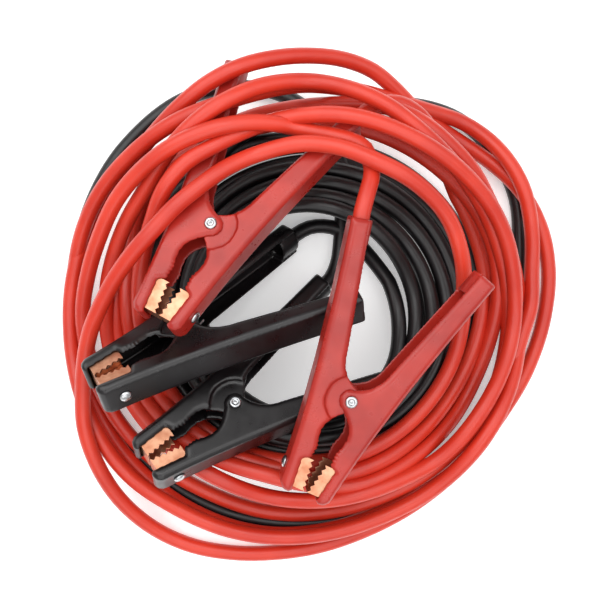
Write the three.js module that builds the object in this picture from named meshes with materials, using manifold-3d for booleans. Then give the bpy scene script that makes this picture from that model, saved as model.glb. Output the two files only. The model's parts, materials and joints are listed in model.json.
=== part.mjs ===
// Jumper cable set: one red and one black cable, each about 6.6 m long and coiled,
// with a sprung clamp on each of the four ends.
// Millimetres, +Z up. The origin is the middle of the box round the four clamps.
import * as THREE from 'three';
import { mergeVertices } from 'three/addons/utils/BufferGeometryUtils.js';
import Module from 'manifold-3d';

const wasm = await Module();
wasm.setup();

// Cable and the two coils, measured from the floor and from the middle of the coils.
const cableDiameter = 9.5;
const coilGap = 0.3;
const blackInnerRadius = 60;
const blackOuterRadius = 130;
const blackHeight = 22;
const redInnerRadius = 92;
const redOuterRadius = 158;
const redHeight = 22;
const coilCentre = [2.6, -3.9];
const coilSides = 48;
const leadRun = 8;
const blackLeadHeight = 6.5;

// Clamp, in its own frame: the pivot is at zero, X runs to the handles, Y to the cable half.
const jawLength = 61;
const jawTipHeight = 15.5;
const noseHeight = 7.4;
const backBow = 21.5;
const handleReach = 92;
const handleHeight = 45;
const handleDepth = 11.2;
const channelWidth = 21;
const wall = 2.4;
const bossRadius = 7;
const mouthHeight = 7.6;
const mouthRun = 16.5;
const lipRun = 7;
const lipHeight = 5.2;
const crotchX = 26;
const crotchHeight = 14.2;
const joggleRadius = 15;
const joggleStep = 2.5;
const runningGap = 0.4;
const seatGap = 0.3;
const bendRadius = 2.2;
const beyond = 30;

// Collar round the cable at the end of a handle.
const collarLength = 14;
const collarDepth = 13.2;
const collarWidth = 17.5;
const collarBore = cableDiameter + 0.8;

// Copper jaw insert.
const insertLength = 18.5;
const insertSheet = 1.2;
const toothCount = 5;
const toothDepth = 1.6;
const toothTipHeight = 0.6;
const toothBackHeight = 3.4;

// Rivets and spring.
const pivotRadius = 2.2;
const pivotHeadRadius = 3.1;
const pivotHeadHeight = 1.2;
const jawRivetRadius = 1.5;
const jawRivetHeadRadius = 3.4;
const jawRivetHeadHeight = 1.1;
const springOuterRadius = 6;
const springWire = 1.8;
const springLegLength = 22;
const springLegAngle = 50;

// Where each clamp lies: pivot, heading, how far its handles dip, and its roll.
// The lead from its collar runs through chosen points and ends at its coil, at a compass angle.
const clampPlaces = {
  red_a: {
    colour: 'red',
    pivot: [-51.4, 42.4, 80.4],
    heading: 60.2,
    dip: 11.2,
    roll: 169.4,
    leadPoints: [[42, 116, 67], [56, 118, 61]],
    landing: { angle: 60, radius: 132 },
  },
  red_b: {
    colour: 'red',
    pivot: [24.8, -52.1, 78.3],
    heading: 64.1,
    dip: -6.2,
    roll: 8.7,
    leadPoints: [[38, 71, 92], [43, 84, 78], [46, 91, 62]],
    landing: { angle: 64.5, radius: 106 },
  },
  black_a: {
    colour: 'black',
    pivot: [-66.4, -19.4, 66.6],
    heading: 27.7,
    dip: 18.7,
    roll: -43.2,
    leadPoints: [],
    landing: { angle: 92 },
  },
  black_b: {
    colour: 'black',
    pivot: [-41.2, -61.3, 56.6],
    heading: 30.9,
    dip: 19.7,
    roll: -21.4,
    leadPoints: [[20.5, 27, 6.6]],
    landing: { angle: 71.5 },
  },
};

const finish = {
  redGrip: { color: 0xc93a30, roughness: 0.42, metalness: 0 },
  blackGrip: { color: 0x1b191c, roughness: 0.3, metalness: 0 },
  redCable: { color: 0xe2402f, roughness: 0.45, metalness: 0 },
  blackCable: { color: 0x1c1b1f, roughness: 0.38, metalness: 0 },
  copper: { color: 0xd9a577, roughness: 0.3, metalness: 1 },
  steel: { color: 0xc4c6c8, roughness: 0.3, metalness: 1 },
};

function solidOf(geometry) {
  const bare = geometry.index ? geometry.toNonIndexed() : geometry.clone();
  bare.deleteAttribute('normal');
  bare.deleteAttribute('uv');
  const merged = mergeVertices(bare, 1e-4);
  return new wasm.Manifold(new wasm.Mesh({
    numProp: 3,
    vertProperties: new Float32Array(merged.attributes.position.array),
    triVerts: new Uint32Array(merged.index.array),
  }));
}

function geometryOf(solid) {
  const mesh = solid.getMesh();
  const geometry = new THREE.BufferGeometry();
  geometry.setAttribute('position', new THREE.BufferAttribute(mesh.vertProperties, 3));
  geometry.setIndex(new THREE.BufferAttribute(mesh.triVerts, 1));
  geometry.computeVertexNormals();
  return geometry;
}

// A flat outline pulled to a thickness that is centred on the clamp's middle plane.
function slab(outline, thickness, chamfer = 0) {
  const depth = thickness - 2 * chamfer;
  const geometry = new THREE.ExtrudeGeometry(new THREE.Shape(outline), {
    depth,
    steps: 1,
    bevelEnabled: chamfer > 0,
    bevelThickness: chamfer,
    bevelSize: chamfer,
    bevelOffset: -chamfer,
    bevelSegments: 1,
  });
  geometry.translate(0, 0, -depth / 2);
  return geometry;
}

function points(curve, count) {
  return curve.getPoints(count);
}

function arcPoints(radius, startDegrees, endDegrees, count) {
  const list = [];
  for (let i = 0; i <= count; i += 1) {
    const angle = radians(startDegrees + ((endDegrees - startDegrees) * i) / count);
    list.push(new THREE.Vector2(radius * Math.cos(angle), radius * Math.sin(angle)));
  }
  return list;
}

function bend(from, control, to, count) {
  return points(new THREE.QuadraticBezierCurve(from, control, to), count);
}

const v = (x, y) => new THREE.Vector2(x, y);
const radians = THREE.MathUtils.degToRad;

// The back of a half runs in one slight bow from the jaw to the end of the handle.
const jawBack = v(-jawLength + 2.5, jawTipHeight);
const handleEnd = v(handleReach, handleHeight);
const backCurve = new THREE.QuadraticBezierCurve(jawBack, v(0, backBow), handleEnd);
const backPoints = points(backCurve, 8);
const handleDirection = backCurve.getTangent(1);
const handleInward = v(handleDirection.y, -handleDirection.x);

// Distances along the jaw, back from its tip.
const insertTip = -jawLength + 3;
const insertBack = insertTip + insertLength;
const cheekStart = insertBack + 1.5;

// Side view of one half: back, handle, crotch, pivot boss, mouth and the low band at the jaw.
function halfOutline() {
  const handleInnerEnd = handleEnd.clone().addScaledVector(handleInward, handleDepth);
  const crotchStart = v(crotchX, crotchHeight);
  const bossEnd = arcPoints(bossRadius, 0, -165, 7);
  const mouthTop = v(cheekStart + mouthRun, mouthHeight);
  const mouthBend = v((mouthTop.x - bossRadius) / 2, mouthHeight);
  return [
    v(-jawLength + 0.5, noseHeight),
    v(-jawLength - 1, noseHeight + 2.2),
    v(-jawLength - 0.3, jawTipHeight - 2.4),
    ...backPoints,
    handleInnerEnd,
    ...bend(crotchStart, v(bossRadius + 4, bossRadius + 4.5), v(bossRadius, 0), 5).slice(0, -1),
    ...bossEnd,
    ...bend(bossEnd.at(-1), mouthBend, mouthTop, 4).slice(1),
    v((mouthTop.x + cheekStart + lipRun) / 2, mouthHeight - 0.8),
    v(cheekStart + lipRun, lipHeight),
    v(cheekStart - 0.5, lipHeight + 0.3),
    v(cheekStart - 3, noseHeight + 2.6),
  ];
}

// The inner face of the back, one wall below it.
const innerBack = backPoints.map((p, i) => {
  const tangent = backCurve.getTangent(i / (backPoints.length - 1));
  return v(p.x + wall * tangent.y, p.y - wall * tangent.x);
});

// The room inside a half: all that lies below the inner face of its back.
function cavityOutline() {
  const first = innerBack[0];
  const last = innerBack.at(-1);
  const front = -jawLength + wall - 0.6;
  return [
    v(front, -beyond),
    v(front, first.y),
    ...innerBack.slice(1),
    last.clone().addScaledVector(handleDirection, beyond),
    last.clone().addScaledVector(handleDirection, beyond).addScaledVector(handleInward, 3 * beyond),
  ];
}

function disc(radius, thickness, sides = 20) {
  const geometry = new THREE.CylinderGeometry(radius, radius, thickness, sides);
  geometry.rotateX(Math.PI / 2);
  return geometry;
}

// The collar: a short oval tube that follows the end of the handle, with the cable's bore.
function collarFrame() {
  const middle = handleEnd.clone()
    .addScaledVector(handleDirection, -collarLength / 2)
    .addScaledVector(handleInward, collarDepth / 2);
  const turn = Math.atan2(handleDirection.y, handleDirection.x);
  return new THREE.Matrix4().makeRotationZ(turn).setPosition(middle.x, middle.y, 0);
}

function collarTube(depth, width, length) {
  const geometry = new THREE.CylinderGeometry(1, 1, length, 16);
  geometry.rotateZ(Math.PI / 2);
  geometry.scale(1, depth / 2, width / 2);
  geometry.applyMatrix4(collarFrame());
  return solidOf(geometry);
}

// The share of the back curve at which it stands over a given place along the clamp.
function backShareAt(x) {
  const bow = jawBack.x + handleEnd.x;
  return (jawBack.x + Math.sqrt(jawBack.x ** 2 - bow * (jawBack.x - x))) / bow;
}

function jawRivetMatrix() {
  const share = backShareAt(insertTip + insertLength / 2);
  const spot = backCurve.getPoint(share);
  const tangent = backCurve.getTangent(share);
  return new THREE.Matrix4()
    .makeRotationZ(Math.atan2(tangent.y, tangent.x))
    .setPosition(spot.x, spot.y, 0);
}

function jawRivetHole() {
  const radius = jawRivetRadius + seatGap;
  const geometry = new THREE.CylinderGeometry(radius, radius, 14, 12);
  geometry.applyMatrix4(jawRivetMatrix());
  return solidOf(geometry);
}

// One half as a coated sheet channel. The cable half's cheeks step inwards at the pivot,
// so that the lever half's cheeks run over them.
function halfSolid(isCableHalf) {
  const outline = halfOutline();
  const cheekInside = channelWidth - 2 * wall;
  let solid = solidOf(slab(outline, channelWidth, bendRadius));
  solid = solid.subtract(solidOf(slab(cavityOutline(), cheekInside)));
  if (isCableHalf) {
    const innerWidth = cheekInside - 2 * runningGap;
    const ring = solidOf(disc(joggleRadius, channelWidth + 2));
    const kept = solidOf(disc(joggleRadius + 1, innerWidth));
    solid = solid.subtract(ring.subtract(kept));
    const plate = solidOf(slab(outline, innerWidth + 2 * runningGap + 0.6));
    const reach = solidOf(disc(joggleRadius + joggleStep, innerWidth));
    const outerReach = solidOf(disc(joggleRadius + joggleStep, channelWidth))
      .subtract(solidOf(disc(joggleRadius, channelWidth + 2)));
    const room = solidOf(slab(cavityOutline(), innerWidth - 2 * wall));
    const step = plate.intersect(reach.add(outerReach)).subtract(room);
    solid = solid.add(step);
  }
  solid = solid.subtract(solidOf(disc(pivotRadius + seatGap, channelWidth + 2, 16)));
  solid = solid.add(collarTube(collarDepth, collarWidth, collarLength));
  solid = solid.subtract(collarTube(collarBore, collarBore, collarLength + 4));
  return solid.subtract(jawRivetHole());
}

// Copper insert: a floor along the back, two toothed sides and a closed front.
function insertSolid() {
  const slope = (innerBack[1].y - innerBack[0].y) / (innerBack[1].x - innerBack[0].x);
  const floorHeight = (x) => innerBack[0].y + slope * (x - innerBack[0].x) - seatGap - 0.2;
  const floorTip = v(insertTip, floorHeight(insertTip));
  const floorBack = v(insertBack, floorHeight(insertBack));
  const outline = [floorTip, floorBack, v(insertBack, toothBackHeight)];
  for (let i = toothCount - 1; i >= 0; i -= 1) {
    const edge = (share) => {
      const t = (i + share) / toothCount;
      const x = insertTip + insertLength * t;
      return v(x, toothTipHeight + (toothBackHeight - toothTipHeight) * t);
    };
    const root = edge(0.5);
    outline.push(v(root.x, root.y + toothDepth));
    outline.push(edge(0));
  }
  const width = channelWidth - 2 * wall - 2 * seatGap;
  const room = [
    v(insertTip + insertSheet, -20),
    v(insertTip + insertSheet, floorTip.y - insertSheet),
    v(insertBack + 5, floorBack.y - insertSheet + 5 * slope),
    v(insertBack + 5, -20),
  ];
  return solidOf(slab(outline, width))
    .subtract(solidOf(slab(room, width - 2 * insertSheet)))
    .subtract(jawRivetHole());
}

function lathe(profile, sides) {
  return new THREE.LatheGeometry(profile.map(([r, h]) => v(r, h)), sides);
}

// Pivot rivet: a tubular shaft with a dished head on each side.
function pivotRivet() {
  const reach = channelWidth / 2 + seatGap;
  const top = reach + pivotHeadHeight;
  const dish = pivotRadius * 0.6;
  const geometry = lathe([
    [0, -top + 0.6], [dish, -top + 0.6], [dish + 0.4, -top], [pivotHeadRadius - 0.5, -top],
    [pivotHeadRadius, -reach], [pivotRadius, -reach], [pivotRadius, reach],
    [pivotHeadRadius, reach], [pivotHeadRadius - 0.5, top], [dish + 0.4, top],
    [dish, top - 0.6], [0, top - 0.6],
  ], 12);
  geometry.rotateX(Math.PI / 2);
  return geometry;
}

function jawRivet() {
  const inside = wall + seatGap + insertSheet + seatGap;
  const geometry = lathe([
    [0, -inside - 0.8], [jawRivetRadius + 0.8, -inside - 0.8], [jawRivetRadius + 0.8, -inside],
    [jawRivetRadius, -inside], [jawRivetRadius, seatGap], [jawRivetHeadRadius, seatGap],
    [jawRivetHeadRadius - 0.7, seatGap + 0.7 * jawRivetHeadHeight], [0, seatGap + jawRivetHeadHeight],
  ], 14);
  geometry.applyMatrix4(jawRivetMatrix());
  return geometry;
}

// Spring: its wound part round the rivet, with a leg along the cable half.
function springSolid() {
  const inner = pivotRadius + seatGap;
  const length = channelWidth - 4 * wall - 2 * runningGap - 2 * seatGap;
  const coil = solidOf(disc(springOuterRadius, length, 20)).subtract(solidOf(disc(inner, length + 2, 16)));
  const leg = new THREE.BoxGeometry(springLegLength, springWire, springWire);
  leg.translate(springLegLength / 2, springOuterRadius - springWire / 2 - 0.2, 0);
  leg.rotateZ(radians(springLegAngle));
  return coil.add(solidOf(leg).subtract(solidOf(disc(inner + 0.5, length + 2, 16))));
}

function meshOf(name, geometry, look) {
  const mesh = new THREE.Mesh(geometry, new THREE.MeshStandardMaterial(look));
  mesh.name = name;
  return mesh;
}

const cableHalf = geometryOf(halfSolid(true));
const leverHalf = geometryOf(halfSolid(false));
const insert = geometryOf(insertSolid());
const spring = geometryOf(springSolid());

// A lever-side piece is the same shape turned half round the clamp's long axis.
function onLeverSide(geometry) {
  return geometry.clone().rotateX(Math.PI);
}

function clamp(name, place) {
  const grip = place.colour === 'red' ? finish.redGrip : finish.blackGrip;
  const group = new THREE.Group();
  group.add(meshOf(`${name}_cable_half`, cableHalf, grip));
  group.add(meshOf(`${name}_lever_half`, onLeverSide(leverHalf), grip));
  group.add(meshOf(`${name}_cable_jaw`, insert, finish.copper));
  group.add(meshOf(`${name}_lever_jaw`, onLeverSide(insert), finish.copper));
  group.add(meshOf(`${name}_pivot_rivet`, pivotRivet(), finish.steel));
  group.add(meshOf(`${name}_cable_jaw_rivet`, jawRivet(), finish.steel));
  group.add(meshOf(`${name}_lever_jaw_rivet`, onLeverSide(jawRivet()), finish.steel));
  group.add(meshOf(`${name}_spring`, spring, finish.steel));
  group.position.set(...place.pivot);
  group.rotation.set(radians(place.roll), radians(place.dip), radians(place.heading), 'ZYX');
  return group;
}

// A coil is one ring of its outer shape.
function ring(inner, outer, low, high) {
  const profile = [[inner, low], [outer, low], [outer, high], [inner, high], [inner, low]];
  const geometry = lathe(profile, coilSides);
  geometry.rotateX(Math.PI / 2);
  geometry.translate(coilCentre[0], coilCentre[1], 0);
  return geometry;
}

// The last two points of a lead: down onto the red coil, or level into the black coil's bore.
function landingPoints({ colour, landing }) {
  const angle = radians(landing.angle);
  const at = (radius, height) => new THREE.Vector3(
    coilCentre[0] + radius * Math.cos(angle),
    coilCentre[1] + radius * Math.sin(angle),
    height,
  );
  if (colour === 'red') {
    const top = redHigh + coilGap;
    return [at(landing.radius, top + leadRun), at(landing.radius, top)];
  }
  const flat = blackInnerRadius * Math.cos(Math.PI / coilSides);
  const wallFace = Math.sqrt(flat ** 2 - (cableDiameter / 2) ** 2) - coilGap;
  return [at(wallFace - leadRun, blackLeadHeight), at(wallFace, blackLeadHeight)];
}

// The cable from its collar to its coil, straight inside the collar and just past it.
function lead(place, clampGroup) {
  clampGroup.updateMatrixWorld(true);
  const frame = clampGroup.matrixWorld.clone().multiply(collarFrame());
  const onCollar = (x) => new THREE.Vector3(x, 0, 0).applyMatrix4(frame);
  const route = [
    onCollar(-collarLength / 2),
    onCollar(collarLength / 2),
    onCollar(collarLength / 2 + cableDiameter / 2),
    ...place.leadPoints.map((point) => new THREE.Vector3(...point)),
    ...landingPoints(place),
  ];
  const path = new THREE.CatmullRomCurve3(route);
  const section = new THREE.Shape(arcPoints(cableDiameter / 2, 0, 324, 9));
  const steps = Math.ceil(path.getLength() / cableDiameter) + 6;
  return new THREE.ExtrudeGeometry(section, { steps, bevelEnabled: false, extrudePath: path });
}

const redLow = blackHeight + coilGap;
const redHigh = redLow + redHeight;
const clamps = new THREE.Group();
const cables = new THREE.Group();
cables.add(meshOf('black_coil', ring(blackInnerRadius, blackOuterRadius, 0, blackHeight), finish.blackCable));
cables.add(meshOf('red_coil', ring(redInnerRadius, redOuterRadius, redLow, redHigh), finish.redCable));
for (const [name, place] of Object.entries(clampPlaces)) {
  const placed = clamp(name, place);
  clamps.add(placed);
  const look = place.colour === 'red' ? finish.redCable : finish.blackCable;
  cables.add(meshOf(`${name}_lead`, lead(place, placed), look));
}

const part = new THREE.Group();
part.add(clamps, cables);
const middle = new THREE.Box3().setFromObject(clamps, true).getCenter(new THREE.Vector3());
part.position.copy(middle).negate();

export default part;
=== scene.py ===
import json
import math

import bmesh
import bpy
import numpy as np
from mathutils import Matrix, Vector
from mathutils.bvhtree import BVHTree


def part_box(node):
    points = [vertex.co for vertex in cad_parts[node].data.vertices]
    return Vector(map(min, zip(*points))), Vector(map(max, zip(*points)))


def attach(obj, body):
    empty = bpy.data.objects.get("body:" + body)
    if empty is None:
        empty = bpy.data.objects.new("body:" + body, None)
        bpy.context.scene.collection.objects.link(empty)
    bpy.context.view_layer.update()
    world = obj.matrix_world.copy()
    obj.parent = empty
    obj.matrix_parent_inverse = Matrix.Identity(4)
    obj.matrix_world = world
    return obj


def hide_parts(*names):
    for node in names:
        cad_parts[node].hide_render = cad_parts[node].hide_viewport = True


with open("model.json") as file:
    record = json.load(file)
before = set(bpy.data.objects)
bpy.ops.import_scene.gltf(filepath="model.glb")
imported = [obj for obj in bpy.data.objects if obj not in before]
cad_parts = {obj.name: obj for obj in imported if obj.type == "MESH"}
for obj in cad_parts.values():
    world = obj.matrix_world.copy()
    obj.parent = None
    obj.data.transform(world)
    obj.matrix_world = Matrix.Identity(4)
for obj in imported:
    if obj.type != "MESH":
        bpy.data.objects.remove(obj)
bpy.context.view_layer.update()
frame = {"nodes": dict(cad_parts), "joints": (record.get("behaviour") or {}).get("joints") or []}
mm = 0.001
rootBody = "cables_and_cable_halves"
clampNames = ("red_a", "red_b", "black_a", "black_b")

# The frame's origin is the middle of the clamps, so the floor and the coils' middle come from the coils.
blackLow, blackHigh = (np.array(corner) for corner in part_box("black_coil"))
floorHeight = float(blackLow[2])
coilMiddle = (blackLow + blackHigh) / 2

photo = {
    "coilMiddleX": 2.6,      # mm, where the coils' middle lies from the spot under the camera
    "coilMiddleY": -3.9,
    "cameraHeight": 600.0,   # mm above the floor
    "acrossFloor": 396.5,    # mm of floor that the frame shows
}
underCamera = np.array([
    coilMiddle[0] - photo["coilMiddleX"] * mm,
    coilMiddle[1] - photo["coilMiddleY"] * mm,
    floorHeight,
])


# A point in mm from the spot under the camera, in the frame's metres.
def fromFloor(point):
    return underCamera + np.array(point, dtype=float) * mm


def linkObject(name, data):
    thing = bpy.data.objects.new(name, data)
    bpy.context.scene.collection.objects.link(thing)
    return thing


def makeCamera():
    data = bpy.data.cameras.new("camera")
    camera = linkObject("camera", data)
    camera.location = fromFloor((0, 0, photo["cameraHeight"]))
    data.angle = 2 * math.atan(photo["acrossFloor"] / 2 / photo["cameraHeight"])
    data.clip_start = 0.01
    bpy.context.scene.camera = camera


makeCamera()
print("camera placed")


# An sRGB hex colour as the linear colour that a node takes.
def colour(text):
    values = [int(text[i:i + 2], 16) / 255 for i in (1, 3, 5)]
    return (*(v / 12.92 if v <= 0.04045 else ((v + 0.055) / 1.055) ** 2.4 for v in values), 1.0)


# Adds a node, with its settings as keywords and its inputs as values or as sockets to link.
def addNode(tree, kind, inputs=None, **settings):
    node = tree.nodes.new(kind)
    for key, value in settings.items():
        setattr(node, key, value)
    for key, value in (inputs or {}).items():
        if isinstance(value, bpy.types.NodeSocket):
            tree.links.new(value, node.inputs[key])
        else:
            node.inputs[key].default_value = value
    return node


# How many pattern features fit in a metre when one is this many mm wide.
def perMetre(size):
    return 1 / (size * mm)


driftSpan = (0.35, 0.65)    # the part of a noise's range over which the colour goes from dark to light
wearSpan = (0.35, 0.7)      # and over which the roughness goes from smoothest to roughest


# A surface with drifting colour, drifting roughness and two sizes of relief, all from looks.
def makeMaterial(name, looks):
    material = bpy.data.materials.new(name)
    material.use_nodes = True
    tree = material.node_tree
    shader = tree.nodes["Principled BSDF"]
    place = addNode(tree, "ShaderNodeTexCoord").outputs["Object"]
    drift = addNode(tree, "ShaderNodeTexNoise", {
        "Vector": place, "Scale": perMetre(looks["driftSize"]), "Detail": 3.0, "Roughness": 0.55})
    tone = addNode(tree, "ShaderNodeValToRGB", {"Fac": drift.outputs["Fac"]})
    for stop, position, shade in zip(tone.color_ramp.elements, driftSpan, ("dark", "light")):
        stop.position = position
        stop.color = colour(looks[shade])
    wear = addNode(tree, "ShaderNodeTexNoise", {
        "Vector": place, "Scale": perMetre(looks["wearSize"]), "Detail": 5.0, "Roughness": 0.6})
    gloss = addNode(tree, "ShaderNodeMapRange", {
        "Value": wear.outputs["Fac"], "From Min": wearSpan[0], "From Max": wearSpan[1],
        "To Min": looks["smoothest"], "To Max": looks["roughest"]})
    stretch = addNode(tree, "ShaderNodeMapping", {"Vector": place, "Scale": looks["grainStretch"]})
    fine = addNode(tree, "ShaderNodeTexNoise", {
        "Vector": stretch.outputs["Vector"], "Scale": perMetre(looks["grainSize"]), "Detail": 2.0})
    coarse = addNode(tree, "ShaderNodeTexNoise", {
        "Vector": place, "Scale": perMetre(looks["swellSize"]), "Detail": 1.0})
    fineBump = addNode(tree, "ShaderNodeBump", {
        "Height": fine.outputs["Fac"], "Strength": looks["grainStrength"],
        "Distance": looks["grainDepth"] * mm})
    bump = addNode(tree, "ShaderNodeBump", {
        "Height": coarse.outputs["Fac"], "Strength": looks["swellStrength"],
        "Distance": looks["swellDepth"] * mm, "Normal": fineBump.outputs["Normal"]})
    tree.links.new(tone.outputs["Color"], shader.inputs["Base Color"])
    tree.links.new(gloss.outputs["Result"], shader.inputs["Roughness"])
    tree.links.new(bump.outputs["Normal"], shader.inputs["Normal"])
    shader.inputs["Metallic"].default_value = looks["metallic"]
    if not looks["metallic"]:
        shader.inputs["IOR"].default_value = looks["ior"]
    return material


# Plasticised PVC dipped on hot steel and cured: a thick glossy skin, round at each edge, with a faint
# orange peel and a slow swell, so its highlights wander a little.
dippedCoat = {
    "driftSize": 30.0, "wearSize": 9.0, "smoothest": 0.26, "roughest": 0.4,
    "grainSize": 1.6, "grainStretch": (1, 1, 1), "grainStrength": 0.06, "grainDepth": 0.08,
    "swellSize": 14.0, "swellStrength": 0.25, "swellDepth": 0.5, "metallic": 0.0, "ior": 1.53,
}
# Extruded PVC sheath: satin, with a soft highlight along each strand and dull handling marks.
extrudedSheath = {
    "driftSize": 60.0, "wearSize": 12.0, "smoothest": 0.33, "roughest": 0.46,
    "grainSize": 0.9, "grainStretch": (1, 1, 1), "grainStrength": 0.1, "grainDepth": 0.06,
    "swellSize": 18.0, "swellStrength": 0.12, "swellDepth": 0.4, "metallic": 0.0, "ior": 1.53,
}
# Bright copper plate on stamped steel: pink-gold, lightly drawn along the jaw, darker where it is handled.
copperPlate = {
    "dark": "#C08062", "light": "#DDA585", "driftSize": 7.0,
    "wearSize": 3.0, "smoothest": 0.3, "roughest": 0.45,
    "grainSize": 0.35, "grainStretch": (0.2, 0.2, 1), "grainStrength": 0.12, "grainDepth": 0.05,
    "swellSize": 6.0, "swellStrength": 0.2, "swellDepth": 0.2, "metallic": 1.0,
}
# Zinc-plated steel, pressed: pale grey with fine dull streaks.
zincPlate = {
    "dark": "#A9ABAE", "light": "#DADCDD", "driftSize": 2.5,
    "wearSize": 1.2, "smoothest": 0.22, "roughest": 0.4,
    "grainSize": 0.4, "grainStretch": (1, 1, 1), "grainStrength": 0.1, "grainDepth": 0.04,
    "swellSize": 2.0, "swellStrength": 0.2, "swellDepth": 0.1, "metallic": 1.0,
}
materials = {
    "redCoat": makeMaterial("redDippedPvc", {**dippedCoat, "dark": "#9C1E16", "light": "#B52C21"}),
    "blackCoat": makeMaterial("blackDippedPvc", {**dippedCoat, "dark": "#0B0809", "light": "#141012"}),
    "redSheath": makeMaterial("redExtrudedPvc", {**extrudedSheath, "dark": "#C12916", "light": "#D63A25"}),
    "blackSheath": makeMaterial("blackExtrudedPvc", {**extrudedSheath, "dark": "#0B090A", "light": "#151113"}),
    "copper": makeMaterial("copperPlate", copperPlate),
    "steel": makeMaterial("zincPlatedSteel", zincPlate),
}
print("materials made")

cable = {
    "diameter": 9.5,    # mm
    "step": 5.0,        # mm between the points of a route
    "climb": 0.42,      # how steeply a strand may rise over what it crosses
    "humpRadius": 60,   # mm, the roundness of the top of such a rise
    "clearance": 0.5,   # mm between strands that cross
    "onCarriers": 3.5,  # strands of this level and up lie on the clamp that carries them
    "sameStretch": 12,  # points this close along one cable are never laid on each other
    "joint": 18,        # mm taken off a coil's ends where the leads join it
    "sweeps": 14,       # rounds of laying until the pile has settled
    "easing": 0.6,      # share of each change that the later rounds take up
    "roundSoftening": 3, "lastSoftening": 5,    # smoothing passes in each round and at the end
}

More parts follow.
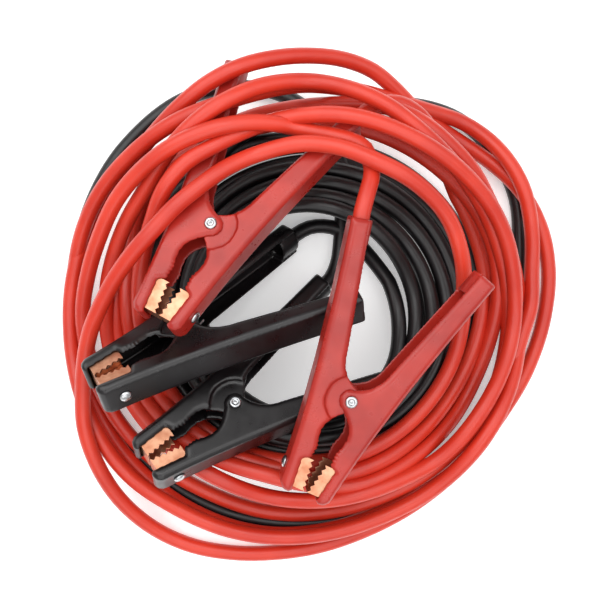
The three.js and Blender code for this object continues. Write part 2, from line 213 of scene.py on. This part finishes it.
# Each turn is read from the photo: compass angle, distance from the coils' middle as the camera
# sees it on the floor in mm, and its place in the pile, where a higher number lies on a lower one.
redRoute = {
    "leadIn": [(28.9, 36, 92.2), (30.2, 44, 93.6), (31.1, 50, 94.4), (34, 61, 93), (37, 72, 89), (36, 82, 85),
               (31, 90, 83)],
    "leadInLevel": 8.5,
    "turns": [
        [(88, 114, 9), (100, 123.5, 9), (110, 130, 9), (120, 135, 9), (130, 139.5, 9), (140, 142.5, 9),
         (150, 144.5, 9), (160, 144.5, 9), (170, 145.5, 8.5), (180, 147, 8), (195, 145.5, 7), (210, 143, 6),
         (225, 139, 5), (240, 135, 4), (260, 133, 4), (280, 130.5, 4), (295, 129.5, 4), (310, 130.5, 4),
         (330, 132.5, 5), (342, 136, 5), (356, 140.5, 5)],
        [(0, 143.5, 5), (10, 147, 4), (20, 154, 3), (30, 160.5, 3), (40, 162, 3), (50, 158.5, 3),
         (60, 151, 2), (68, 147.5, 2), (78, 146.5, 2), (92, 147, 2), (105, 146, 2.5), (115, 147, 3.5),
         (125, 150.5, 4), (140, 154, 4.5), (150, 156, 5), (160, 156, 5), (170, 154.5, 4.5), (182, 153, 4),
         (200, 152, 3), (220, 151.5, 3), (245, 149.5, 3), (260, 147, 3), (275, 142.5, 2.5),
         (290, 138.5, 2), (310, 134.5, 2), (330, 132, 2), (350, 130, 2)],
        [(10, 130, 2), (30, 131.5, 2), (47, 134.5, 3), (60, 138.5, 5), (70, 143.5, 6), (80, 147, 6),
         (92, 149.5, 6), (102, 149.5, 6), (112, 147, 6), (122, 143, 6), (132, 138, 5), (142, 133, 4.5),
         (155, 132, 4.5), (175, 132, 4.5), (190, 131.5, 4), (205, 129.5, 4), (225, 126, 4.5),
         (240, 124, 5), (260, 123.5, 5), (280, 123.5, 5), (300, 125, 5.5), (310, 127.5, 6),
         (330, 129.5, 6.5), (350, 132.5, 7)],
        [(10, 135, 7), (20, 136.5, 7), (30, 136.5, 7), (40, 135, 7), (60, 131.5, 7), (80, 129.5, 7),
         (92, 127, 6.5), (105, 125, 5.5), (120, 124, 6), (130, 125.5, 6), (140, 123, 6.5),
         (150, 117.5, 6.5), (162, 113.5, 6), (175, 111, 5.5), (190, 108.5, 5), (210, 104.5, 4),
         (235, 101.5, 4), (260, 99, 4), (290, 98, 5), (320, 97.5, 5.5), (345, 99, 6.5)],
        [(5, 101, 7), (20, 105.5, 8), (35, 109, 9.5), (50, 108.5, 11), (65, 107, 12), (80, 108.5, 12),
         (92, 109, 12), (105, 107.5, 12), (120, 107.5, 12), (132, 108, 12), (142, 110.5, 12),
         (152, 114, 12), (161, 120, 12), (170, 127.5, 12), (178, 135, 12), (185, 142.5, 12),
         (192, 149, 11), (200, 156.5, 9), (207, 164, 7), (215, 169.5, 5), (225, 173.5, 4),
         (234, 173.5, 3), (243, 170.5, 3), (252, 165, 2.5), (262, 158.5, 2), (272, 153, 2),
         (283, 147.5, 2), (297, 143, 1), (315, 140.5, 1), (331, 141, 1), (345, 146.5, 1.5)],
        [(0, 153.5, 1.5), (10, 158, 1.5), (20, 160, 1.5), (30, 158, 1.2), (40, 152, 1), (48, 147.5, 1),
         (56, 146, 1), (63, 148.5, 1.2), (69, 155, 2), (75, 161.5, 3), (82, 165, 3.8),
         (90, 166, 4), (98, 166, 4), (106, 165, 4), (114, 162, 4), (123, 157, 3.8),
         (134, 152, 3.8), (146, 151, 3.9), (158, 153, 4), (170, 154.5, 6), (185, 155.5, 7),
         (200, 157.5, 7), (212, 159, 7), (222, 158.5, 7), (235, 154.5, 7), (250, 151.5, 6.5),
         (262, 148.5, 6), (275, 145, 6), (288, 142, 6), (305, 141, 5.5), (325, 140.5, 5),
         (340, 139.5, 4), (350, 138, 3)],
        [(5, 136.5, 2.5), (20, 136, 2.5), (31, 137, 3), (40, 140, 3.5), (50, 141.5, 4), (60, 143, 4),
         (68, 142.5, 3.5), (76, 138.5, 3), (84, 135, 3), (94, 132.5, 3), (108, 131.5, 3), (120, 130, 3),
         (135, 128, 3), (150, 127, 3), (165, 126, 4), (180, 125.5, 4.5), (195, 124, 4), (210, 121.5, 4),
         (225, 117, 4.5), (240, 112.5, 5), (255, 110, 5), (270, 112.5, 5), (288, 117.5, 5), (300, 117, 5),
         (320, 116.5, 5), (340, 116.5, 5), (352, 119, 5)],
        [(5, 123.5, 5), (17, 126.5, 5), (30, 127, 5), (42, 126, 5), (52, 125, 5), (65, 124, 4),
         (80, 123.5, 3), (100, 123.5, 3), (118, 126, 3), (132, 129.5, 4), (145, 130, 5.5), (153, 127, 5.5),
         (160, 123.5, 5.5), (170, 120, 5), (182, 117.5, 4.5), (197, 115, 4), (212, 112, 4),
         (227, 108.5, 4), (243, 105.5, 4.5), (260, 104.5, 4.5), (275, 107, 4.5), (292, 108, 5),
         (310, 107, 5), (330, 107, 5), (345, 109, 5)],
        [(0, 112.5, 5), (12, 116.5, 5), (24, 118.5, 5), (36, 121, 4.5), (46, 124, 4)],
    ],
    "leadOut": [(72, 106, 57), (64, 113, 61), (54, 117, 64.5), (43, 116, 67), (32.7, 109.4, 68.2),
                (25, 101.6, 69.7)],
    "leadOutLevel": 3.9,
}

blackRoute = {
    "leadIn": [(6.9, 7.2, 15.1), (12, 12.4, 11.8), (17, 18, 8.4), (21, 28, 5.6), (22.6, 40, 4.8),
               (23.6, 54, 4.8), (23.4, 68, 4.8), (20.6, 82.5, 4.8), (13, 96, 4.8), (1.5, 105.5, 4.8)],
    "leadInLevel": -13,
    "start": 100,                          # compass angle at which the lead has become the first turn
    "firstRadii": [114, 107, 98, 88, 78],  # mm, turns before the wide one
    "lastRadii": [99, 91, 83, 76, 69],     # mm, turns after it
    "wideTurn": [(90, 130), (116, 158), (137, 160), (160, 156), (180, 152), (205, 148), (228, 144),
                 (250, 141), (265, 138.5), (300, 135), (340, 134), (360, 135.5), (375, 141.5),
                 (383, 148), (390, 154), (400, 160.5), (410, 158.5), (420, 151), (435, 140),
                 (460, 127), (480, 117)],
    "wideLevel": -7,
    "ending": [(330, 64.5), (345, 60.5), (360, 57.5), (375, 55.5), (390, 54.5), (402, 54.5)],
    "leadOut": [(29, 44.5, 4.9), (17, 50.2, 5.3), (5, 50.4, 6.8), (-3.2, 46.9, 9.2), (-8.4, 42.9, 11.6),
                (-12.9, 39.2, 14.7)],
}


# The turns as one list of knots whose angle keeps growing.
def turnsOf(route):
    knots = []
    whole = 0
    for turn in route["turns"]:
        for angle, radius, level in turn:
            if knots and angle + whole < knots[-1][0]:
                whole += 360
            knots.append((angle + whole, radius, level))
    return knots


# Round turns, each a little off the middle its own way, with one wide turn among them.
def blackTurns(route):
    knots = []
    spacing = 30        # degrees
    sway = 2.6          # mm
    firstLevel = -12
    lastLevel = -6
    levelStep = 0.3
    endingFrom = 310    # degrees, where the last turn gives way to the ending

    def addTurns(radii, first, level):
        for k, radius in enumerate(radii):
            after = radii[k + 1] if k + 1 < len(radii) else radius
            for j in range(360 // spacing):
                angle = first + 360 * k + spacing * j
                if level == lastLevel and k == len(radii) - 1 and angle % 360 > endingFrom:
                    return
                wander = sway * (math.sin(math.radians(angle + 70 * k))
                                 + 0.6 * math.cos(math.radians(2 * angle + 50 * k)))
                place = radius + (after - radius) * j * spacing / 360 + wander
                knots.append((angle, place, level + levelStep * k))

    addTurns(route["firstRadii"], route["start"], firstLevel)
    whole = 360 * math.floor(knots[-1][0] / 360)
    for angle, radius in route["wideTurn"]:
        if angle + whole > knots[-1][0] + 10:
            knots.append((angle + whole, radius, route["wideLevel"]))
    addTurns(route["lastRadii"], knots[-1][0] + 25, lastLevel)
    whole = 360 * math.floor(knots[-1][0] / 360)
    level = knots[-1][2]
    for angle, radius in route["ending"]:
        if angle + whole > knots[-1][0] + 5:
            knots.append((angle + whole, radius, level))
    return knots


# A cubic through the values at their angles, read at the fine angles.
def cubicThrough(angles, values, fine):
    slopes = np.gradient(values, angles)
    at = np.clip(np.searchsorted(angles, fine, side="right") - 1, 0, len(angles) - 2)
    width = angles[at + 1] - angles[at]
    t = (fine - angles[at]) / width
    return ((2 * t**3 - 3 * t**2 + 1) * values[at] + (t**3 - 2 * t**2 + t) * width * slopes[at]
            + (3 * t**2 - 2 * t**3) * values[at + 1] + (t**3 - t**2) * width * slopes[at + 1])


# Place as the camera sees it on the floor, and level, at even steps along a smooth line through the knots.
def smoothRoute(knots, step):
    angles, radii, levels = np.array(knots, dtype=float).T
    fine = np.arange(angles[0], angles[-1], 0.5)
    radius = cubicThrough(angles, radii, fine)
    level = np.interp(fine, angles, levels)
    turn = np.radians(fine)
    x = photo["coilMiddleX"] + radius * np.cos(turn)
    y = photo["coilMiddleY"] + radius * np.sin(turn)
    along = np.concatenate([[0], np.cumsum(np.hypot(np.diff(x), np.diff(y)))])
    even = np.arange(0, along[-1], step)
    return np.stack([np.interp(even, along, v) for v in (x, y, level)], axis=1)


# Where a node is at rest, and for the red clamp on top also where its lever goes when it is squeezed.
def placesOf(name):
    places = [Matrix()]
    for joint in frame["joints"]:
        if name.startswith(joint["child"]) and name.startswith("red_b_"):
            pivot = Matrix.Translation(joint["pos_m"])
            for share in (0.5, 1.0):
                turn = Matrix.Rotation(share * math.radians(joint["range_deg"][1]), 4, Vector(joint["axis"]))
                places.append(pivot @ turn @ pivot.inverted())
    return places


# One search tree over several CAD nodes, in each of their places.
def treeOf(names):
    vertices, polygons = [], []
    for name in names:
        mesh = frame["nodes"][name].data
        for place in placesOf(name):
            first = len(vertices)
            vertices += [place @ v.co for v in mesh.vertices]
            polygons += [tuple(first + i for i in p.vertices) for p in mesh.polygons]
    return BVHTree.FromPolygons(vertices, polygons)


# Height above the floor in mm where plumb lines over the cable's width first meet the pieces:
# the highest top from above, or the lowest underside from below, or None.
def across(tree, place, fromAbove):
    radius = cable["diameter"] / 2
    found = []
    for dx, dy in ((0, 0), (radius, 0), (-radius, 0), (0, radius), (0, -radius)):
        start = Vector(fromFloor((place[0] + dx, place[1] + dy, 200 if fromAbove else -1)))
        hit = tree.ray_cast(start, Vector((0, 0, -1 if fromAbove else 1)))[0]
        if hit is not None:
            found.append((hit.z - floorHeight) / mm)
    if not found:
        return None
    return max(found) if fromAbove else min(found)


# Height above the floor in mm of the pieces that the camera would see at a place on the floor, or 0.
def sightHeight(tree, place):
    eye = Vector(fromFloor((0, 0, photo["cameraHeight"])))
    hit = tree.ray_cast(eye, (Vector(fromFloor((*place, 0))) - eye).normalized())[0]
    return 0 if hit is None else (hit.z - floorHeight) / mm


# The lowest line over all the heights that never climbs too steeply and has round tops.
def hump(heights):
    line = heights.copy()
    fall = cable["climb"] * cable["step"]
    reach = int(cable["climb"] * cable["humpRadius"] / cable["step"])
    for i in range(1, len(line)):
        line[i] = max(line[i], line[i - 1] - fall)
    for i in range(len(line) - 2, -1, -1):
        line[i] = max(line[i], line[i + 1] - fall)
    padded = np.pad(line, reach, mode="edge")
    drops = [(k * cable["step"]) ** 2 / (2 * cable["humpRadius"]) for k in range(-reach, reach + 1)]
    return np.max([padded[k:k + len(line)] - drop for k, drop in enumerate(drops)], axis=0)


def soften(line, passes):
    for _ in range(passes):
        line[1:-1] = (line[:-2] + 2 * line[1:-1] + line[2:]) / 4
    return line


# Each strand rests on the floor, on lower strands and leads and on the carriers, below the covers.
def layCables(routes, leads, carriers, covers):
    radius = cable["diameter"] / 2
    contact = cable["diameter"] + cable["clearance"]
    owner = np.concatenate([np.full(len(r), i) for i, r in enumerate(routes)])
    seen = np.concatenate([r[:, :2] for r in routes])
    level = np.concatenate([r[:, 2] for r in routes])
    index = np.concatenate([np.arange(len(r)) for r in routes])
    heights = np.full(len(seen), radius)
    order = np.argsort(level, kind="stable")
    openAbove = 300.0   # mm, a ceiling that nothing reaches
    onClamp = level >= cable["onCarriers"]
    carried = np.array([sightHeight(carriers, seen[i]) if onClamp[i] else 0 for i in range(len(seen))])
    for sweep in range(cable["sweeps"]):
        flat = seen * (1 - heights / photo["cameraHeight"])[:, None]
        new = carried + radius
        ceiling = np.full(len(seen), openAbove)
        for i in range(len(seen)):
            if onClamp[i]:
                top = across(carriers, flat[i], True)
                if top is not None:
                    new[i] = top + radius + cable["clearance"]
            under = across(covers, flat[i], False)
            if under is not None:
                ceiling[i] = under - radius - cable["clearance"]
        for k in range(len(routes)):
            ceiling[owner == k] = -hump(-ceiling[owner == k])
        for lead, leadLevel in leads:
            for i in np.nonzero(level > leadLevel)[0]:
                apart = np.hypot(lead[:, 0] - flat[i, 0], lead[:, 1] - flat[i, 1])
                close = apart < contact
                if close.any():
                    new[i] = max(new[i], (lead[close, 2] + np.sqrt(contact**2 - apart[close]**2)).max())
        for i in order:
            apart = np.hypot(flat[:, 0] - flat[i, 0], flat[:, 1] - flat[i, 1])
            near = (apart < contact) & (level < level[i] - 1e-6)
            near &= ~((owner == owner[i]) & (np.abs(index - index[i]) < cable["sameStretch"]))
            if near.any():
                new[i] = max(new[i], (new[near] + np.sqrt(contact**2 - apart[near]**2)).max())
            new[i] = max(min(new[i], ceiling[i]), radius)
        for k in range(len(routes)):
            own = owner == k
            line = np.maximum(np.minimum(hump(new[own]), ceiling[own]), radius)
            new[own] = soften(line, cable["roundSoftening"])
        change = np.abs(new - heights).max()
        heights = heights + (new - heights) * (1.0 if sweep < cable["sweeps"] / 3 else cable["easing"])
    print(f"cables laid, last change {change:.2f} mm, highest {heights.max():.1f} mm")
    result = []
    for k in range(len(routes)):
        line = soften(heights[owner == k].copy(), cable["lastSoftening"])
        flat = seen[owner == k] * (1 - line / photo["cameraHeight"])[:, None]
        result.append(np.column_stack([flat, line]))
    return result


# The whole cable: a lead, the laid turns, and the other lead, through one smooth line.
def joinLeads(coil, leadIn, leadOut):
    gap = int(cable["joint"] / cable["step"])
    knots = [*leadIn, *coil[gap:len(coil) - gap], *leadOut]
    return resample(np.array(knots, dtype=float), cable["step"])


# Even steps along a Catmull-Rom line through the points.
def resample(points, step):
    padded = np.vstack([2 * points[0] - points[1], points, 2 * points[-1] - points[-2]])
    fine = []
    for i in range(1, len(padded) - 2):
        p0, p1, p2, p3 = padded[i - 1:i + 3]
        a = max(np.linalg.norm(p1 - p0), 1e-6) ** 0.5
        b = max(np.linalg.norm(p2 - p1), 1e-6) ** 0.5
        c = max(np.linalg.norm(p3 - p2), 1e-6) ** 0.5
        m1 = b * ((p1 - p0) / a - (p2 - p0) / (a + b) + (p2 - p1) / b)
        m2 = b * ((p2 - p1) / b - (p3 - p1) / (b + c) + (p3 - p2) / c)
        for t in np.linspace(0, 1, 6, endpoint=False):
            fine.append((2 * t**3 - 3 * t**2 + 1) * p1 + (t**3 - 2 * t**2 + t) * m1
                        + (3 * t**2 - 2 * t**3) * p2 + (t**3 - t**2) * m2)
    fine.append(points[-1])
    fine = np.array(fine)
    along = np.concatenate([[0], np.cumsum(np.linalg.norm(np.diff(fine, axis=0), axis=1))])
    even = np.linspace(0, along[-1], max(2, int(along[-1] / step) + 1))
    return np.stack([np.interp(even, along, fine[:, k]) for k in range(3)], axis=1)


def cableObject(name, line, material):
    data = bpy.data.curves.new(name, "CURVE")
    data.dimensions = "3D"
    data.bevel_depth = cable["diameter"] / 2 * mm
    data.bevel_resolution = 6
    data.use_fill_caps = True
    spline = data.splines.new("POLY")
    spline.points.add(len(line) - 1)
    for point, place in zip(spline.points, line):
        point.co = (*fromFloor(place), 1)
    spline.use_smooth = True
    data.materials.append(material)
    return linkObject(name, data)


def lengthOf(line):
    return float(np.linalg.norm(np.diff(line, axis=0), axis=1).sum()) * mm


def makeCables():
    routes = [smoothRoute(knots, cable["step"]) for knots in (blackTurns(blackRoute), turnsOf(redRoute))]
    clampNodes = [n for n in frame["nodes"] if not n.endswith(("_coil", "_lead"))]
    carriers = treeOf([n for n in clampNodes if n.startswith("red_a_")])
    covers = treeOf([n for n in clampNodes if not n.startswith("red_a_")])
    leads = [(resample(np.array(route[end], dtype=float), 2.0), route[f"{end}Level"])
             for route, end in ((redRoute, "leadIn"), (redRoute, "leadOut"), (blackRoute, "leadIn"))]
    laid = layCables(routes, leads, carriers, covers)
    for side, coil, route in (("black", laid[0], blackRoute), ("red", laid[1], redRoute)):
        line = joinLeads(coil, route["leadIn"], route["leadOut"])
        thing = cableObject(f"{side}_cable", line, materials[f"{side}Sheath"])
        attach(thing, rootBody)
        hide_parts(f"{side}_coil", f"{side}_a_lead", f"{side}_b_lead")
        print(f"{side} cable {lengthOf(line):.3f} m")


makeCables()

# Sizes in mm in a clamp's own frame: its pivot is at zero, X runs to the handles, Y to the cable half.
half = {
    "voxel": 0.75,                                      # size of the remesh that rounds the coat
    "rounding": 7,                                      # smoothing passes after it
    "backLine": ((-58.5, 15.5), (0, 21.5), (92, 45)),   # start, control and end of its bowed back
    "ribPitch": 2.3, "ribDepth": 0.45,                  # moulded ribs on the edge behind the copper
    "ribStart": -38, "ribEnd": -27, "ribReach": 9,      # from and to in X, and up to this Y
}
jaw = {
    "bevel": 0.22,      # width of the worn edge of the copper
    "middle": -48.75,   # X of its rivet
}
rivet = {
    "jawHead": 3.5, "jawDome": 1.7,             # radius and height of the dome on the back
    "jawShank": 1.5, "jawDepth": 6.0,           # radius and reach through coat, steel and copper
    "seat": 0.15,                               # air under the head
    "pivotHead": 3.5, "pivotHeadHeight": 1.2,   # the dished head on each side
    "pivotDish": 1.9, "pivotDishDepth": 0.9,
    "pivotShank": 2.2, "pivotFace": 10.6,       # radius, and where the heads start
    "sides": 36,
}
spring = {
    "radius": 4.9, "wire": 1.8, "turns": 4, "width": 8.4,
    "legAngle": 27,     # degrees between a leg and the clamp's long axis
    "legLength": 19, "sides": 12,
}


# The clamp's own frame, from its joint's place and from its mirrored jaws.
def clampFrame(name):
    joint = next(j for j in frame["joints"] if j["name"] == f"{name}_squeeze")
    pivot = Vector(joint["pos_m"])
    middles = {}
    for side in ("cable", "lever"):
        mesh = frame["nodes"][f"{name}_{side}_jaw"].data
        middles[side] = sum((v.co for v in mesh.vertices), Vector()) / len(mesh.vertices) - pivot
    z = Vector(joint["axis"]).normalized()
    y = middles["cable"] - middles["lever"]
    y = (y - y.dot(z) * z).normalized()
    x = -(middles["cable"] + middles["lever"])
    x = (x - x.dot(z) * z).normalized()
    if x.cross(y).dot(z) < 0:
        z = -z
    matrix = Matrix((x, y, z)).transposed().to_4x4()
    matrix.translation = pivot
    return matrix


clampFrames = {name: clampFrame(name) for name in clampNames}
turnOver = Matrix.Rotation(math.pi, 4, "X")


# A node of one clamp as a merged mesh in that clamp's own frame.
def localCopy(nodeName, clampName):
    mesh = frame["nodes"][nodeName].data.copy()
    mesh.transform(clampFrames[clampName].inverted())
    work = bmesh.new()
    work.from_mesh(mesh)
    bmesh.ops.remove_doubles(work, verts=work.verts, dist=1e-6)
    bmesh.ops.dissolve_degenerate(work, edges=work.edges, dist=1e-7)
    work.to_mesh(mesh)
    work.free()
    mesh.materials.clear()
    return mesh


# The mesh that an object's modifiers give, with the object removed.
def bake(thing):
    evaluated = thing.evaluated_get(bpy.context.evaluated_depsgraph_get())
    mesh = bpy.data.meshes.new_from_object(evaluated)
    bpy.data.objects.remove(thing)
    return mesh


def shadeFaces(mesh, smooth):
    mesh.polygons.foreach_set("use_smooth", [smooth] * len(mesh.polygons))
    return mesh


# A coated half: the sheet's form with each edge rounded as a dipped coat leaves it, and ribs at the jaw.
def coatedHalf(nodeName, clampName, flip):
    mesh = localCopy(nodeName, clampName)
    if flip:
        mesh.transform(turnOver)
    thing = linkObject("work", mesh)
    remesh = thing.modifiers.new("coat", "REMESH")
    remesh.mode = "VOXEL"
    remesh.voxel_size = half["voxel"] * mm
    rounding = thing.modifiers.new("rounding", "SMOOTH")
    rounding.factor = 0.5
    rounding.iterations = half["rounding"]
    result = bake(thing)
    places = np.empty(len(result.vertices) * 3)
    result.vertices.foreach_get("co", places)
    places = places.reshape(-1, 3) / mm
    x, y = places[:, 0], places[:, 1]
    onEdge = (x > half["ribStart"]) & (x < half["ribEnd"]) & (y < half["ribReach"]) & (y > 0)
    fade = np.clip((half["ribReach"] - y) / 3, 0, 1) * np.clip((x - half["ribStart"]) / 1.5, 0, 1)
    wave = np.sin(2 * math.pi * x / half["ribPitch"])
    places[:, 1] += np.where(onEdge, half["ribDepth"] * wave * fade, 0)
    result.vertices.foreach_set("co", (places * mm).ravel())
    if flip:
        result.transform(turnOver)
    return shadeFaces(result, True)


def bevelledJaw(nodeName, clampName):
    thing = linkObject("work", localCopy(nodeName, clampName))
    bevel = thing.modifiers.new("bevel", "BEVEL")
    bevel.width = jaw["bevel"] * mm
    bevel.segments = 2
    bevel.limit_method = "ANGLE"
    bevel.angle_limit = math.radians(35)
    return shadeFaces(bake(thing), False)


# A turned piece round Y from (radius, height) pairs in mm that start and end on the axis.
def turned(profile):
    sides = rivet["sides"]
    work = bmesh.new()
    rings = []
    for radius, height in profile:
        if radius == 0:
            rings.append([work.verts.new((0, height * mm, 0))])
        else:
            rings.append([work.verts.new((radius * mm * math.cos(2 * math.pi * i / sides), height * mm,
                                          radius * mm * math.sin(2 * math.pi * i / sides)))
                          for i in range(sides)])
    for low, high in zip(rings, rings[1:]):
        for i in range(sides):
            j = (i + 1) % sides
            corners = [low[i % len(low)], low[j % len(low)], high[j % len(high)], high[i % len(high)]]
            work.faces.new(list(dict.fromkeys(corners)))
    bmesh.ops.recalc_face_normals(work, faces=work.faces)
    mesh = bpy.data.meshes.new("turned")
    work.to_mesh(mesh)
    work.free()
    return shadeFaces(mesh, True)


# The spot on the bowed back over the middle of the jaw, with Y out of the back.
def backSpot(x):
    start, control, end = (np.array(p, dtype=float) for p in half["backLine"])
    shares = np.linspace(0, 1, 2001)[:, None]
    line = (1 - shares)**2 * start + 2 * shares * (1 - shares) * control + shares**2 * end
    k = int(np.argmin(np.abs(line[:, 0] - x)))
    along = line[k + 1] - line[k - 1]
    matrix = Matrix.Rotation(math.atan2(along[1], along[0]), 4, "Z")
    matrix.translation = Vector((line[k, 0], line[k, 1], 0)) * mm
    return matrix


def jawRivetMesh():
    bottom = -rivet["jawDepth"]
    seat = rivet["seat"]
    shank = rivet["jawShank"]
    rim = seat + 0.3    # top of the head's straight rim, where the dome starts
    dome = [(rivet["jawHead"] * math.cos(math.radians(a)), rim + rivet["jawDome"] * math.sin(math.radians(a)))
            for a in range(0, 90, 10)]
    mesh = turned([
        (0, bottom), (shank + 0.6, bottom), (shank + 0.8, bottom + 0.3), (shank, bottom + 0.9), (shank, seat),
        (rivet["jawHead"] - 0.2, seat), *dome, (0, rim + rivet["jawDome"]),
    ])
    mesh.transform(backSpot(jaw["middle"]))
    return mesh


def pivotRivetMesh():
    face = rivet["pivotFace"]
    top = face + rivet["pivotHeadHeight"]
    dish = rivet["pivotDish"]
    head = rivet["pivotHead"]
    floor = top - rivet["pivotDishDepth"]
    upper = [(rivet["pivotShank"], face), (head - 0.3, face), (head, face + 0.35), (head - 0.25, top - 0.3),
             (head - 0.8, top), (dish + 0.25, top), (dish, top - 0.2), (dish - 0.15, floor),
             (0.7, floor), (0.45, top - 0.55), (0, top - 0.45)]
    lower = [(radius, -height) for radius, height in reversed(upper)]
    mesh = turned([*lower, *upper])
    mesh.transform(Matrix.Rotation(math.pi / 2, 4, "X"))
    return mesh


# A tree that gives any path a round wire with closed ends.
def wireTree():
    tree = bpy.data.node_groups.new("wireOnPath", "GeometryNodeTree")
    face = tree.interface
    face.new_socket("Geometry", in_out="INPUT", socket_type="NodeSocketGeometry")
    face.new_socket("Wire radius", in_out="INPUT", socket_type="NodeSocketFloat")
    face.new_socket("Sides", in_out="INPUT", socket_type="NodeSocketInt")
    face.new_socket("Material", in_out="INPUT", socket_type="NodeSocketMaterial")
    face.new_socket("Geometry", in_out="OUTPUT", socket_type="NodeSocketGeometry")
    given = addNode(tree, "NodeGroupInput").outputs
    section = addNode(tree, "GeometryNodeCurvePrimitiveCircle", {
        "Radius": given["Wire radius"], "Resolution": given["Sides"]})
    wire = addNode(tree, "GeometryNodeCurveToMesh", {
        "Curve": given["Geometry"], "Profile Curve": section.outputs["Curve"], "Fill Caps": True})
    smooth = addNode(tree, "GeometryNodeSetShadeSmooth", {"Geometry": wire.outputs["Mesh"]})
    real = addNode(tree, "GeometryNodeRealizeInstances", {"Geometry": smooth.outputs["Geometry"]})
    coated = addNode(tree, "GeometryNodeSetMaterial", {
        "Geometry": real.outputs["Geometry"], "Material": given["Material"]})
    addNode(tree, "NodeGroupOutput", {"Geometry": coated.outputs["Geometry"]})
    return tree


def wireMesh(tree, path):
    data = bpy.data.curves.new("path", "CURVE")
    data.dimensions = "3D"
    spline = data.splines.new("POLY")
    spline.points.add(len(path) - 1)
    for point, place in zip(spline.points, path):
        point.co = (*(np.array(place) * mm), 1)
    thing = linkObject("work", data)
    modifier = thing.modifiers.new("wire", "NODES")
    modifier.node_group = tree
    values = {
        "Wire radius": spring["wire"] / 2 * mm,
        "Sides": spring["sides"],
        "Material": materials["steel"],
    }
    for item in tree.interface.items_tree:
        if item.in_out == "INPUT" and item.name in values:
            modifier[item.identifier] = values[item.name]
    return bake(thing)


# The wound spring with its leg along the cable half, and the leg along the lever half, which starts
# where the winding ends and turns with the lever.
def springPaths():
    lean = math.radians(spring["legAngle"])
    start = math.pi / 2 + lean
    end = 2 * math.pi * (spring["turns"] + 1) - start
    count = 18 * (spring["turns"] + 1)
    radius = spring["radius"]
    winding = []
    for i in range(count + 1):
        angle = start + (end - start) * i / count
        side = spring["width"] * (i / count - 0.5)
        winding.append((radius * math.cos(angle), radius * math.sin(angle), side))

    def leg(origin, direction):
        unit = np.array([math.cos(direction), math.sin(direction), 0])
        reach = spring["legLength"]
        return [tuple(np.array(origin) + unit * reach * share) for share in (0.15, 0.4, 0.7, 1.0)]

    first = list(reversed(leg(winding[0], lean)))
    second = [winding[-1], *leg(winding[-1], -lean)]
    return [*first, *winding], second


def addPiece(name, mesh, matrix, material, body, node=None):
    own = mesh.copy()
    own.transform(matrix)
    own.materials.clear()
    own.materials.append(material)
    thing = linkObject(name, own)
    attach(thing, body)
    if node:
        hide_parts(node)


def makeClamps():
    source = "red_b"
    wire = wireTree()
    coil, leverLeg = (wireMesh(wire, path) for path in springPaths())
    shapes = {
        "cable_half": coatedHalf(f"{source}_cable_half", source, False),
        "lever_half": coatedHalf(f"{source}_lever_half", source, True),
        "cable_jaw": bevelledJaw(f"{source}_cable_jaw", source),
        "lever_jaw": bevelledJaw(f"{source}_lever_jaw", source),
        "cable_jaw_rivet": jawRivetMesh(),
        "pivot_rivet": pivotRivetMesh(),
        "spring": coil,
    }
    shapes["lever_jaw_rivet"] = shapes["cable_jaw_rivet"].copy()
    shapes["lever_jaw_rivet"].transform(turnOver)
    print("clamp pieces shaped", {key: len(mesh.polygons) for key, mesh in shapes.items()})
    for name in clampNames:
        side = name.split("_")[0]
        place = clampFrames[name]
        lever = f"{name}_lever"
        for key, mesh in shapes.items():
            body = lever if key.startswith("lever") else rootBody
            if key.endswith("half"):
                material, slotName = materials[f"{side}Coat"], f"{side}_coating"
            elif key.endswith("jaw"):
                material, slotName = materials["copper"], "copper"
            else:
                material, slotName = materials["steel"], "steel"
            addPiece(f"{name}_{key}_made", mesh, place, material, body, f"{name}_{key}")
        addPiece(f"{name}_spring_lever_leg", leverLeg, place, materials["steel"], lever)
    print("clamps placed")


makeClamps()

studio = {
    "floorSize": 3.0,         # m to each side
    "floorColour": "#F7F7F7",
    "floorGlow": 0.35,        # keeps the paper near white in the shade between the strands
    "worldStrength": 0.5,
    "lamps": [                # place and aim in mm from the spot under the camera, width in m, watts
        ((-420, 380, 900), (0, 0, 30), 1.05, 7.4),
        ((480, 120, 1000), (0, 0, 30), 1.1, 5.6),
        ((0, -600, 800), (0, 0, 30), 0.9, 3.4),
    ],
}


def makeFloor():
    size = studio["floorSize"]
    mesh = bpy.data.meshes.new("floor")
    corners = [(-size, -size), (size, -size), (size, size), (-size, size)]
    mesh.from_pydata([(x, y, floorHeight) for x, y in corners], [], [(0, 1, 2, 3)])
    material = bpy.data.materials.new("floorPaper")
    material.use_nodes = True
    shader = material.node_tree.nodes["Principled BSDF"]
    shader.inputs["Base Color"].default_value = colour(studio["floorColour"])
    shader.inputs["Roughness"].default_value = 0.9
    shader.inputs["Emission Color"].default_value = (1, 1, 1, 1)
    shader.inputs["Emission Strength"].default_value = studio["floorGlow"]
    mesh.materials.append(material)
    linkObject("floor", mesh)


def makeLights():
    world = bpy.data.worlds.new("studio")
    bpy.context.scene.world = world
    world.use_nodes = True
    world.node_tree.nodes["Background"].inputs["Color"].default_value = (1, 1, 1, 1)
    world.node_tree.nodes["Background"].inputs["Strength"].default_value = studio["worldStrength"]
    for k, (place, aim, width, watts) in enumerate(studio["lamps"]):
        data = bpy.data.lights.new(f"lamp_{k}", "AREA")
        data.shape = "SQUARE"
        data.size = width
        data.energy = watts
        lamp = linkObject(f"lamp_{k}", data)
        start, end = Vector(fromFloor(place)), Vector(fromFloor(aim))
        lamp.location = start
        lamp.rotation_euler = (end - start).to_track_quat("-Z", "Y").to_euler()


makeFloor()
makeLights()
bpy.context.scene.view_settings.view_transform = "Standard"
print("floor and lights ready")
